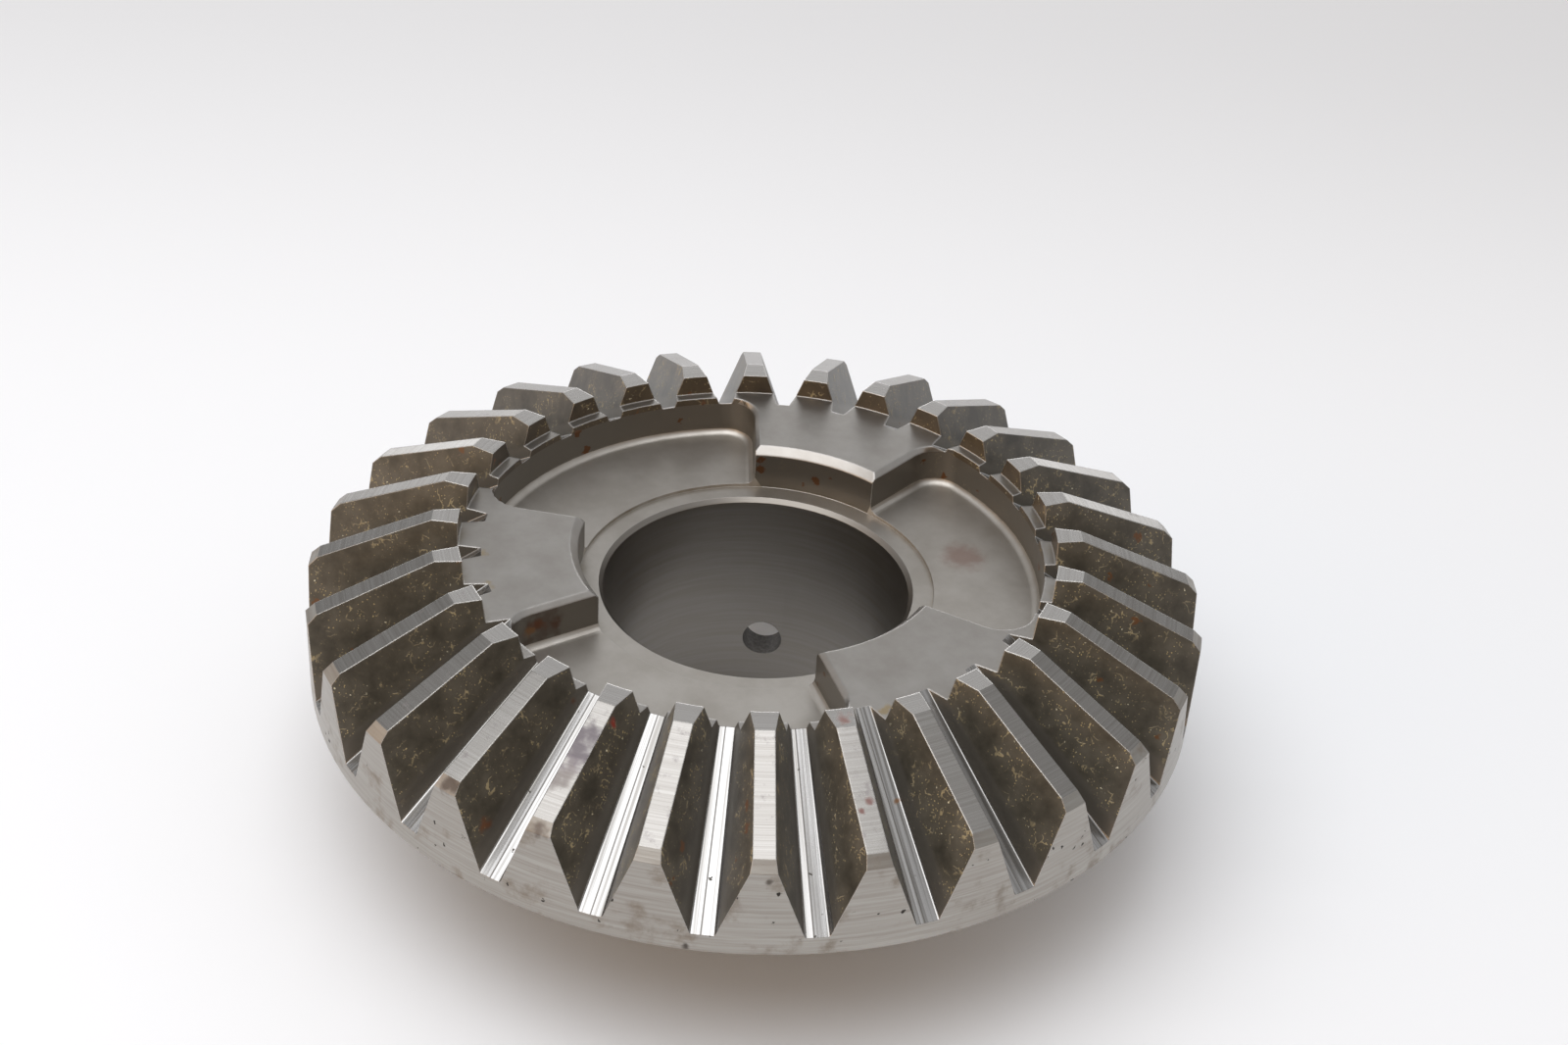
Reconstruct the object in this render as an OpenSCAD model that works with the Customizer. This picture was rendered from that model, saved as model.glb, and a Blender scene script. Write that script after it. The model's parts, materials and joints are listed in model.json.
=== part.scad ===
// Reverse gear from the lower unit of an outboard motor.
// A straight bevel gear with a dog clutch in its face, turned and cut from one steel forging.
// Z is the axis of rotation, the end of the hub lies at Z = 0 and the teeth look up.
// The first tooth and the first dog are both centred on +X.

/* [Rim] */
// Diameter over the turned rim
rim_d = 71.1; // [69:0.1:73]
// Height of the plain rim below the tooth gaps
rim_land = 1.9; // [1:0.1:3]
// Bevel on the back edge of the rim
rim_bevel = 0.4; // [0.1:0.1:0.8]
// Bevel across the outer ends of the teeth
heel_bevel = 0.75; // [0.3:0.05:1.2]

/* [Teeth] */
// Number of teeth
tooth_count = 28; // [26:1:30]
// Number of teeth on the pinion that drives it
pinion_teeth = 14; // [13:1:15]
// Height of the apex that the tooth elements run to
apex_z = 37.3; // [36.5:0.1:38.5]
// Half angle of the root cone
root_angle = 57.4; // [56.5:0.1:58.5]
// Depth of the tooth gaps at the rim, along the axis
gap_depth = 6.3; // [5.6:0.1:7]
// Width of the gap floors at the rim
gap_floor_w = 1.76; // [1.5:0.02:2]
// Lean of each flank from the middle of its gap
flank_angle = 24.2; // [23:0.1:25]
// Radius at the foot of the flanks at the rim
root_fillet = 0.2; // [0.1:0.05:0.4]

/* [Toes] */
// Height of the flats turned on the inner ends of the teeth
toe_z = 25; // [24.5:0.1:25.4]
// Diameter over the toe flats
toe_outer_d = 51.5; // [50:0.1:53]
// Width of the toe flats along the radius
toe_land = 2.05; // [1.5:0.05:2.5]
// Drop from the toe flats to the clutch face
toe_drop = 1.7; // [1.2:0.1:2.2]

/* [Dog clutch] */
// Number of dogs
dog_count = 3; // [2:1:4]
// Angle that each dog spans
dog_span = 43; // [30:1:55]
// Height of the dogs above the pocket floors
dog_h = 3.5; // [2.5:0.1:4.5]
// Bevel on the end faces of the dogs
dog_bevel = 0.4; // [0.2:0.05:0.45]
// Bevel on the inner edges of the dogs
dog_inner_bevel = 0.65; // [0.5:0.05:0.9]
// Width of the ledge between a pocket and the inner tooth ends
ledge_w = 0.9; // [0.5:0.1:2]
// Radius of the pocket corners, seen along the axis
pocket_corner_r = 2.5; // [1.5:0.1:3.5]
// Radius at the foot of the pocket walls
pocket_fillet = 0.7; // [0.3:0.1:1]

/* [Bore and hub] */
// Diameter of the bore
bore_d = 24.6; // [22:0.1:25.5]
// Diameter of the recess around the mouth of the bore
recess_d = 28.6; // [27.5:0.1:31]
// Depth of the recess below the pocket floors
recess_step = 0.3; // [0.1:0.1:1]
// Bevel on both mouths of the bore
bore_bevel = 0.35; // [0.1:0.05:0.5]
// Diameter of the hub journal
hub_d = 30; // [29:0.1:33]
// Bevel on the end of the hub
hub_bevel = 0.6; // [0.2:0.1:0.8]
// Diameter of the thrust shoulder behind the rim
shoulder_d = 37; // [35:0.5:45]
// Height of the thrust shoulder
shoulder_h = 1.2; // [0.5:0.1:2.5]
// Radius between the hub and the shoulder
hub_fillet = 0.6; // [0.2:0.1:0.8]
// Diameter of the oil hole through the hub
oil_hole_d = 3.4; // [2:0.1:4]
// Height of the oil hole above the hub end
oil_hole_z = 5; // [4:0.1:6]
// Angle of the oil hole around the axis
oil_hole_angle = 135; // [0:1:360]

/* [Hidden] */
$fn = 84;
steel_grey = "#7d7a75";

// How far a cut runs out past the surface that it opens
run_out = 1;

rim_r = rim_d / 2;
bore_r = bore_d / 2;
recess_r = recess_d / 2;
hub_r = hub_d / 2;
shoulder_r = shoulder_d / 2;
toe_outer_r = toe_outer_d / 2;
toe_inner_r = toe_outer_r - toe_land;
pocket_r = toe_inner_r - ledge_w;

// Heights at the rim, from the apex down the root cone
heel_root_z = apex_z - rim_r / tan(root_angle);
heel_tip_z = heel_root_z + gap_depth;
back_z = heel_root_z - rim_land;
shoulder_z = back_z - shoulder_h;

// Half angle of the face cone, which runs from the rim up to the toe flats
face_angle = atan((rim_r - toe_outer_r) / (toe_z - heel_tip_z));
heel_edge_z = heel_tip_z + heel_bevel / tan(face_angle);

// Heights of the clutch, from the toes down
dog_top_z = toe_z - toe_drop;
pocket_z = dog_top_z - dog_h;
recess_z = pocket_z - recess_step;

// Tooth gaps: sections square to the pitch cone, placed by their distance from the apex along it
pitch_angle = atan(tooth_count / pinion_teeth);
dedendum_angle = pitch_angle - root_angle;
rim_cone_distance = rim_r * cos(dedendum_angle) / sin(root_angle);
gap_top = max(above_pitch_cone(rim_r, heel_tip_z), above_pitch_cone(toe_outer_r, toe_z)) + run_out;
outer_cone_distance = rim_cone_distance + 3 * run_out;
inner_cone_distance = min(
    (apex_z - dog_top_z - run_out) * cos(dedendum_angle) / cos(root_angle),
    along_pitch_cone(toe_inner_r, toe_z) - run_out
);
fillet_steps = 4;

// Steps along the outer wall of a pocket and round each of its corners
wall_steps = 14;
corner_steps = 6;

// Distance of a point on the blank from the pitch cone, and from the apex along that cone
function above_pitch_cone(r, z) = (z - apex_z) * sin(pitch_angle) + r * cos(pitch_angle);
function along_pitch_cone(r, z) = (apex_z - z) * cos(pitch_angle) + r * sin(pitch_angle);

// Right half of the gap's outline: a strip of the floor, a fillet and a straight flank, all smaller
// towards the apex
function half_section(cone_distance) =
    let (share = cone_distance / rim_cone_distance)
    let (floor_y = -cone_distance * tan(dedendum_angle))
    let (foot_x = share * gap_floor_w / 2)
    let (fillet_r = share * root_fillet)
    let (fillet_x = foot_x - fillet_r * (1 - sin(flank_angle)) / cos(flank_angle))
    concat(
        [
            for (i = [0 : fillet_steps])
                let (turn = -90 + (90 - flank_angle) * i / fillet_steps)
                [fillet_x + fillet_r * cos(turn), floor_y + fillet_r * (1 + sin(turn))]
        ],
        [[foot_x + (gap_top - floor_y) * tan(flank_angle), gap_top]]
    );

// Whole outline of the gap, mirrored about its middle
function gap_section(cone_distance) =
    let (right = half_section(cone_distance))
    let (last = len(right) - 1)
    concat(right, [for (i = [last : -1 : 0]) [-right[i][0], right[i][1]]]);

// Place an outline square to the pitch cone, at a distance from the apex
function on_pitch_cone(outline, cone_distance) = [
    for (p = outline)
        [
            cone_distance * sin(pitch_angle) + p[1] * cos(pitch_angle),
            p[0],
            apex_z - cone_distance * cos(pitch_angle) + p[1] * sin(pitch_angle)
        ]
];

// One tooth gap, lofted from its inner to its outer section along +X
module tooth_gap() {
    inner = on_pitch_cone(gap_section(inner_cone_distance), inner_cone_distance);
    outer = on_pitch_cone(gap_section(outer_cone_distance), outer_cone_distance);
    count = len(inner);
    polyhedron(
        points = concat(inner, outer),
        faces = concat(
            [[for (i = [0 : count - 1]) i]],
            [[for (i = [count - 1 : -1 : 0]) count + i]],
            [for (i = [0 : count - 1]) [i, count + i, (i + 1) % count]],
            [for (i = [0 : count - 1]) [(i + 1) % count, count + i, count + (i + 1) % count]]
        )
    );
}

// Half section of the turned blank, as radius and height
module blank_section() {
    polygon([
        [bore_r, bore_bevel],
        [bore_r + bore_bevel, 0],
        [hub_r - hub_bevel, 0],
        [hub_r, hub_bevel],
        [hub_r, shoulder_z],
        [shoulder_r, shoulder_z],
        [shoulder_r, back_z],
        [rim_r - rim_bevel, back_z],
        [rim_r, back_z + rim_bevel],
        [rim_r, heel_edge_z - heel_bevel],
        [rim_r - heel_bevel, heel_edge_z],
        [toe_outer_r, toe_z],
        [toe_inner_r, toe_z],
        [toe_inner_r, dog_top_z],
        [recess_r + dog_inner_bevel, dog_top_z],
        [recess_r, dog_top_z - dog_inner_bevel],
        [recess_r, recess_z],
        [bore_r + bore_bevel, recess_z],
        [bore_r, recess_z - bore_bevel]
    ]);
    translate([hub_r, shoulder_z])
        difference() {
            translate([-run_out / 2, -hub_fillet])
                square([hub_fillet + run_out / 2, hub_fillet + shoulder_h / 2]);
            translate([hub_fillet, -hub_fillet])
                circle(hub_fillet);
        }
}

// Pocket outline, as [middle of the cutter, direction from there, share of the bevel] for each point.
// It runs along the outer wall, round a corner, down an end face to the tip near the axis and back.
// The bevel fades out round each corner, so the outer wall has none.
function pocket_outline(half_span) =
    let (path_r = pocket_r - pocket_corner_r)
    let (sweep = half_span - asin(pocket_corner_r / path_r))
    let (tip = [pocket_corner_r / sin(half_span), 0])
    let (face_turn = half_span + 90)
    let (upper_corner = path_r * [cos(sweep), sin(sweep)])
    let (lower_corner = path_r * [cos(sweep), -sin(sweep)])
    concat(
        [
            for (i = [1 : wall_steps - 1])
                let (turn = sweep * (2 * i / wall_steps - 1))
                [path_r * [cos(turn), sin(turn)], turn, 0]
        ],
        [
            for (i = [0 : corner_steps])
                let (share = i / corner_steps)
                [upper_corner, sweep + (face_turn - sweep) * share, share]
        ],
        [
            for (i = [0 : corner_steps])
                let (share = i / corner_steps)
                [tip, face_turn + (180 - face_turn) * 2 * share, 1]
        ],
        [
            for (i = [corner_steps : -1 : 0])
                let (share = i / corner_steps)
                [lower_corner, -sweep - (face_turn - sweep) * share, share]
        ]
    );

// The outline at one height, grown by widen all round and by bevel where the edge is bevelled
function pocket_ring(outline, z, widen, bevel) = [
    for (p = outline)
        let (reach = pocket_corner_r + widen + bevel * p[2])
        [p[0][0] + reach * cos(p[1]), p[0][1] + reach * sin(p[1]), z]
];

// Pocket between two dogs: rounded floor edge, upright walls and a bevel that opens upwards
module pocket() {
    outline = pocket_outline((360 / dog_count - dog_span) / 2);
    rings = concat(
        [
            for (i = [0 : fillet_steps])
                let (turn = 90 * i / fillet_steps)
                pocket_ring(
                    outline, pocket_z + pocket_fillet * (1 - cos(turn)), pocket_fillet * (sin(turn) - 1), 0
                )
        ],
        [pocket_ring(outline, dog_top_z - dog_bevel, 0, 0)],
        [pocket_ring(outline, dog_top_z + run_out, 0, dog_bevel + run_out)]
    );
    count = len(outline);
    top = len(rings) - 1;
    polyhedron(
        points = [for (ring = rings) each ring],
        faces = concat(
            [[for (i = [0 : count - 1]) i]],
            [[for (i = [count - 1 : -1 : 0]) top * count + i]],
            [
                for (layer = [0 : top - 1], i = [0 : count - 1])
                    let (low = layer * count, next = (i + 1) % count)
                    [low + i, low + count + i, low + next]
            ],
            [
                for (layer = [0 : top - 1], i = [0 : count - 1])
                    let (low = layer * count, next = (i + 1) % count)
                    [low + next, low + count + i, low + count + next]
            ]
        )
    );
}

module oil_hole() {
    rotate(oil_hole_angle)
        translate([bore_r - run_out, 0, oil_hole_z])
            rotate([0, 90, 0])
                cylinder(d = oil_hole_d, h = hub_r - bore_r + 2 * run_out);
}

module reverse_gear() {
    color(steel_grey)
        difference() {
            rotate_extrude()
                blank_section();
            for (i = [0 : tooth_count - 1])
                rotate((i + 0.5) * 360 / tooth_count)
                    tooth_gap();
            for (i = [0 : dog_count - 1])
                rotate((i + 0.5) * 360 / dog_count)
                    pocket();
            oil_hole();
        }
}

reverse_gear();
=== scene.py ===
"""Dresses the reverse gear of an outboard motor in used, oily steel and lights it on a pale table.

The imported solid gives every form. This script shows it with smooth shading, sorts its faces into the
surfaces that the machining left, and gives each of them its own finish. Lengths of the gear and of its
finishes are in millimetres, and those of the studio are in metres.
"""

import json
import logging
import math
from dataclasses import dataclass, field
from enum import Enum
from typing import Any

import bmesh
import bpy
import numpy as np
from mathutils import Matrix, Vector


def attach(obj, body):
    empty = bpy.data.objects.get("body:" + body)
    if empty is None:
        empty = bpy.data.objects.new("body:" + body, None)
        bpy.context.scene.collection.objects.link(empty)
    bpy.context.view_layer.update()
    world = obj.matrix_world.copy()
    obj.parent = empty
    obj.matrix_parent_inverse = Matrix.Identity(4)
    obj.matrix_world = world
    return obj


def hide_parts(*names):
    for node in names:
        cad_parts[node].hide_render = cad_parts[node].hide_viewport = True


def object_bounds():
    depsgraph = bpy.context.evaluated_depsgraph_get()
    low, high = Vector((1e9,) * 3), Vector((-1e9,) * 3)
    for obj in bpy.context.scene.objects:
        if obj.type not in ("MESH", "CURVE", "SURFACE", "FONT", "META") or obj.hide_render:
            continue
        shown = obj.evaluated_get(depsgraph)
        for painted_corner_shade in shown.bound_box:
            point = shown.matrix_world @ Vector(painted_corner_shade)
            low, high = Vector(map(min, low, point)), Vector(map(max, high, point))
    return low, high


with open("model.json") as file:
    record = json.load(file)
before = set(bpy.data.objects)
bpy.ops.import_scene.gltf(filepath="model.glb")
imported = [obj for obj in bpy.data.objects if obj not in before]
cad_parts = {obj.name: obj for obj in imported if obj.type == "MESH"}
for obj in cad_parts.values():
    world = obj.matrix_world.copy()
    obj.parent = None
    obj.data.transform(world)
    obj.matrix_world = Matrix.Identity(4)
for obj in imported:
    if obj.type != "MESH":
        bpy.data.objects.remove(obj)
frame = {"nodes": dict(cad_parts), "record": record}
cad_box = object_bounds()

log = logging.getLogger("reverse_gear")

MM = 0.001
# Input and output numbers of a Mix node that mixes colours
MIX_A, MIX_B, MIX_RESULT = 6, 7, 2
# Input numbers of a Map Range node: the range that it reads, and the one that it gives
FROM_MIN, FROM_MAX, TO_MIN, TO_MAX = 1, 2, 3, 4
# How far apart the bulges in the rim of a stain are, in millimetres
STAIN_WAVE = 1.1111


def linear(colour: str) -> tuple[float, float, float, float]:
    """Turn an sRGB colour into the linear one that the shaders take.

    Args:
        colour: The colour as six hex digits after a hash sign.

    Returns:
        Red, green, blue and an alpha of one.
    """
    channels = [int(colour[i:i + 2], 16) / 255 for i in (1, 3, 5)]
    curve = [c / 12.92 if c <= 0.04045 else ((c + 0.055) / 1.055) ** 2.4 for c in channels]
    return (curve[0], curve[1], curve[2], 1.0)


def add_node(
    tree: bpy.types.NodeTree,
    kind: str,
    inputs: dict[str | int, Any] | None = None,
    out: str | int = 0,
    **settings: Any,
) -> bpy.types.NodeSocket:
    """Add a shader node with its settings and links.

    Args:
        tree: The node tree that gets the node.
        kind: The node's type, without the prefix that all shader nodes share.
        inputs: A value or the socket to link, for each input by name or number.
        out: The output to hand back, by name or number.
        **settings: The node's own properties.

    Returns:
        The chosen output socket, or the first input of a node that has no output.
    """
    node = tree.nodes.new("ShaderNode" + kind)
    for name, value in settings.items():
        setattr(node, name, value)
    for key, value in (inputs or {}).items():
        if isinstance(value, bpy.types.NodeSocket):
            tree.links.new(value, node.inputs[key])
        else:
            node.inputs[key].default_value = value
    return node.outputs[out] if node.outputs else node.inputs[0]


class Zone(Enum):
    """The surfaces of the gear, by how they were made."""

    TURNED = 0
    LAND = 1
    ROOT = 2
    FLANK = 3
    CLUTCH = 4
    WALL = 5
    BORE = 6
    DRILLED = 7
    TOE = 8
    POCKET = 9


@dataclass(frozen=True)
class GearSizes:
    """The sizes of the gear that place its surfaces, in millimetres and degrees."""

    teeth: int = 28
    apex_z: float = 37.3
    root_angle: float = 57.4
    gap_depth: float = 6.3
    gap_fillet_rise: float = 0.4
    toe_inner_r: float = 23.7
    pocket_z: float = 19.8
    pocket_fillet: float = 0.7
    recess_z: float = 19.5
    bore_bevel: float = 0.35
    back_z: float = 12.66
    oil_hole_low_z: float = 2.0
    bore_r: float = field(default_factory=lambda: mount_radius("bore"))
    hub_r: float = field(default_factory=lambda: mount_radius("hub_journal"))
    rim_r: float = field(default_factory=lambda: cad_box[1].x / MM)
    toe_z: float = field(default_factory=lambda: cad_box[1].z / MM)


def mount_radius(name: str) -> float:
    """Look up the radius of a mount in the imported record.

    Args:
        name: The mount's name.

    Returns:
        Its radius in millimetres.
    """
    return next(m["dims"]["r_mm"] for m in frame["record"]["mounts"] if m["name"] == name)


@dataclass(frozen=True)
class Stain:
    """A patch of rust or of old oil at one place on the gear.

    Noise draws out the rim of a ragged patch, by a share of its radius.
    """

    place: tuple[float, float, float]
    radius: float
    colour: str
    strength: float = 0.8
    ragged: float = 2.2


class Surface:
    """The node tree of one material, with coordinates that follow the gear."""

    def __init__(self, name: str, gear: GearSizes, edge_radius: float) -> None:
        """Start a material.

        Args:
            name: The material's name.
            gear: The sizes that the coordinates follow.
            edge_radius: How far the edges are rounded, in millimetres.
        """
        self.gear = gear
        self.material = bpy.data.materials.new(name)
        self.material.use_nodes = True
        self.tree = self.material.node_tree
        self.tree.nodes.clear()
        tree = self.tree
        place = add_node(tree, "TexCoord", out="Object")
        self.point = add_node(tree, "VectorMath", {0: place, "Scale": 1 / MM}, operation="SCALE")
        axes = add_node(tree, "SeparateXYZ", {0: self.point}).node.outputs
        flat = add_node(tree, "VectorMath", {0: self.point, 1: (1, 1, 0)}, operation="MULTIPLY")
        self.height = axes["Z"]
        self.radius = add_node(tree, "VectorMath", {0: flat}, "Value", operation="LENGTH")
        self.around = add_node(tree, "VectorMath", {0: flat}, operation="NORMALIZE")
        # The tooth gap that a point lies in, and how far the point is from the gap's middle
        turn = add_node(tree, "Math", {0: axes["Y"], 1: axes["X"]}, operation="ARCTAN2")
        teeth_passed = add_node(
            tree, "Math", {0: turn, 1: gear.teeth / math.tau}, operation="MULTIPLY"
        )
        self.gap = add_node(tree, "Math", {0: teeth_passed}, operation="FLOOR")
        in_gap = add_node(tree, "Math", {0: teeth_passed, 1: self.gap}, operation="SUBTRACT")
        share = add_node(tree, "Math", {0: in_gap, 1: 0.5}, operation="SUBTRACT")
        arc = add_node(tree, "Math", {0: self.radius, 1: math.tau / gear.teeth}, operation="MULTIPLY")
        self.across = add_node(tree, "Math", {0: share, 1: arc}, operation="MULTIPLY")
        # An edge is where the rounded normal leaves the true one
        self.rounded = add_node(tree, "Bevel", {"Radius": edge_radius * MM}, samples=6)
        facing = add_node(tree, "NewGeometry", out="Normal")
        agree = add_node(
            tree, "VectorMath", {0: self.rounded, 1: facing}, "Value", operation="DOT_PRODUCT"
        )
        self.edge = add_node(
            tree,
            "MapRange",
            {0: agree, FROM_MIN: 0.995, FROM_MAX: 0.93},
            interpolation_type="SMOOTHSTEP",
        )

    def circling(self, length: float, width: float, detail: float = 3.0) -> bpy.types.NodeSocket:
        """Make tool marks that run round the axis, as a lathe leaves them.

        Args:
            length: How far a mark runs round the gear, in millimetres.
            width: How wide it is, in millimetres.
            detail: How many finer sets of marks lie between the widest ones.

        Returns:
            A value from 0 to 1 that changes across the marks.
        """
        tree = self.tree
        ring = add_node(
            tree, "VectorMath", {0: self.around, "Scale": self.gear.rim_r / length}, operation="SCALE"
        )
        # Height and radius together change across every turned face: rims, flats and bevels
        leaning = add_node(
            tree, "Math", {0: self.radius, 1: 1.7, 2: self.height}, operation="MULTIPLY_ADD"
        )
        lift = add_node(tree, "Math", {0: leaning, 1: 1 / width}, operation="MULTIPLY")
        upright = add_node(tree, "CombineXYZ", {"Z": lift})
        where = add_node(tree, "VectorMath", {0: ring, 1: upright}, operation="ADD")
        return add_node(
            tree, "TexNoise", {"Vector": where, "Scale": 1.0, "Detail": detail, "Roughness": 0.6}
        )

    def lengthwise(self, length: float, width: float) -> bpy.types.NodeSocket:
        """Make tool marks that run along the tooth gaps, as a planer leaves them.

        Args:
            length: How far a mark runs along the gap, in millimetres.
            width: How wide it is, in millimetres.

        Returns:
            A value from 0 to 1 that changes across the marks.
        """
        tree = self.tree
        side = add_node(tree, "Math", {0: self.across, 1: 1 / width}, operation="MULTIPLY")
        along = add_node(tree, "Math", {0: self.radius, 1: 1 / length}, operation="MULTIPLY")
        # Far enough apart in the noise that no gap has the marks of the next one
        other = add_node(tree, "Math", {0: self.gap, 1: 7.3}, operation="MULTIPLY")
        where = add_node(tree, "CombineXYZ", {0: side, 1: along, 2: other})
        return add_node(
            tree, "TexNoise", {"Vector": where, "Scale": 1.0, "Detail": 3.0, "Roughness": 0.55}
        )

    def spots(self, spacing: float, share: float, size: float) -> bpy.types.NodeSocket:
        """Scatter ragged spots over the surface.

        Args:
            spacing: The usual distance between possible spots, in millimetres.
            share: The share of the places that hold a spot, from 0 to 1.
            size: The radius of a spot as a share of the spacing.

        Returns:
            A mask from 0 to 1.
        """
        tree = self.tree
        # Noise finer than the spacing draws out the rims of the spots
        ragged = add_node(
            tree, "TexNoise", {"Vector": self.point, "Scale": 3 / spacing, "Detail": 2.0}, "Color"
        )
        nudge = add_node(tree, "VectorMath", {0: ragged, "Scale": 0.8 * spacing}, operation="SCALE")
        where = add_node(tree, "VectorMath", {0: self.point, 1: nudge}, operation="ADD")
        cell = add_node(tree, "TexVoronoi", {"Vector": where, "Scale": 1 / spacing}).node.outputs
        pick = add_node(tree, "SeparateColor", {0: cell["Color"]})
        chosen = add_node(tree, "Math", {0: pick, 1: 1 - share}, operation="GREATER_THAN")
        near = add_node(
            tree,
            "MapRange",
            {0: cell["Distance"], FROM_MIN: size, FROM_MAX: 0.65 * size},
            interpolation_type="SMOOTHSTEP",
        )
        return add_node(tree, "Math", {0: chosen, 1: near}, operation="MULTIPLY")

    def stained(
        self, colour: bpy.types.NodeSocket, stains: tuple[Stain, ...]
    ) -> tuple[bpy.types.NodeSocket, bpy.types.NodeSocket | None]:
        """Lay stains over a colour.

        Args:
            colour: The clean colour.
            stains: The stains, lowest first.

        Returns:
            The stained colour, and a mask of all the stains or None if there are none.
        """
        tree = self.tree
        cover = None
        if stains:
            wavy = add_node(
                tree, "TexNoise", {"Vector": self.point, "Scale": 1 / STAIN_WAVE, "Detail": 6.0}, "Color"
            )
            shift = add_node(tree, "VectorMath", {0: wavy, 1: (0.5, 0.5, 0.5)}, operation="SUBTRACT")
        for stain in stains:
            sway = add_node(
                tree,
                "VectorMath",
                {0: shift, "Scale": stain.ragged * stain.radius},
                operation="SCALE",
            )
            place = add_node(tree, "VectorMath", {0: self.point, 1: sway}, operation="ADD")
            far = add_node(
                tree, "VectorMath", {0: place, 1: stain.place}, "Value", operation="DISTANCE"
            )
            mask = add_node(
                tree,
                "MapRange",
                {0: far, FROM_MIN: stain.radius, FROM_MAX: 0.25 * stain.radius, TO_MAX: stain.strength},
                interpolation_type="SMOOTHSTEP",
            )
            colour = add_node(
                tree,
                "Mix",
                {0: mask, MIX_A: colour, MIX_B: linear(stain.colour)},
                MIX_RESULT,
                data_type="RGBA",
            )
            if cover is not None:
                mask = add_node(tree, "Math", {0: cover, 1: mask}, operation="MAXIMUM")
            cover = mask
        return colour, cover

    def shade(
        self,
        colour: bpy.types.NodeSocket,
        metallic: bpy.types.NodeSocket | float,
        roughness: bpy.types.NodeSocket | float,
        relief: bpy.types.NodeSocket,
        depth: float,
    ) -> bpy.types.Material:
        """Close the material with its shader.

        Args:
            colour: The base colour.
            metallic: 1 for bare metal and 0 for what lies on it.
            roughness: The roughness of the surface.
            relief: The height of the surface, from 0 to 1.
            depth: The height that 1 stands for, in millimetres.

        Returns:
            The finished material.
        """
        tree = self.tree
        normal = add_node(
            tree,
            "Bump",
            {"Height": relief, "Distance": depth * MM, "Strength": 1.0, "Normal": self.rounded},
        )
        shader = add_node(
            tree,
            "BsdfPrincipled",
            {
                "Base Color": colour,
                "Metallic": metallic,
                "Roughness": roughness,
                "Normal": normal,
            },
        )
        add_node(tree, "OutputMaterial", {"Surface": shader})
        return self.material


@dataclass(frozen=True)
class TurnedSteel:
    """Alloy steel from the lathe, handled and lightly tarnished.

    It gives the eye a satin grey with fine marks that circle the axis, dark pits and brown smears.
    """

    name: str = "alloy_steel_turned"
    clean: str = "#aba8a2"
    dull: str = "#97918a"
    smear: str = "#6d5f4e"
    pit: str = "#2e2a27"
    roughness: float = 0.36
    edge_radius: float = 0.06
    mark_length: float = 9.0
    mark_width: float = 0.22
    mark_depth: float = 0.012
    smear_size: float = 2.857
    stains: tuple[Stain, ...] = ()

    def material(self, gear: GearSizes) -> bpy.types.Material:
        """Build the finish.

        Args:
            gear: The sizes that its patterns follow.

        Returns:
            The material.
        """
        s = Surface(self.name, gear, self.edge_radius)
        tree = s.tree
        marks = s.circling(self.mark_length, self.mark_width)
        tone = add_node(tree, "MapRange", {0: marks, FROM_MIN: 0.3, FROM_MAX: 0.7})
        cloud = add_node(
            tree,
            "TexNoise",
            {"Vector": s.point, "Scale": 1 / self.smear_size, "Detail": 6.0, "Roughness": 0.62},
        )
        smeared = add_node(
            tree,
            "MapRange",
            {0: cloud, FROM_MIN: 0.52, FROM_MAX: 0.72, TO_MAX: 0.6},
            interpolation_type="SMOOTHSTEP",
        )
        pits = s.spots(spacing=0.9, share=0.13, size=0.2)
        colour: Any = linear(self.dull)
        for mask, coat in ((tone, self.clean), (smeared, self.smear), (pits, self.pit)):
            colour = add_node(
                tree,
                "Mix",
                {0: mask, MIX_A: colour, MIX_B: linear(coat)},
                MIX_RESULT,
                data_type="RGBA",
            )
        colour, cover = s.stained(colour, self.stains)
        soiled = add_node(tree, "Math", {0: smeared, 1: pits}, operation="MAXIMUM")
        if cover:
            soiled = add_node(tree, "Math", {0: soiled, 1: cover}, operation="MAXIMUM")
        rough = add_node(
            tree, "MapRange", {0: soiled, TO_MIN: self.roughness, TO_MAX: self.roughness + 0.25}
        )
        metallic = add_node(tree, "MapRange", {0: soiled, TO_MIN: 1.0, TO_MAX: 0.45})
        return s.shade(colour, metallic, rough, marks, self.mark_depth)


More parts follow.
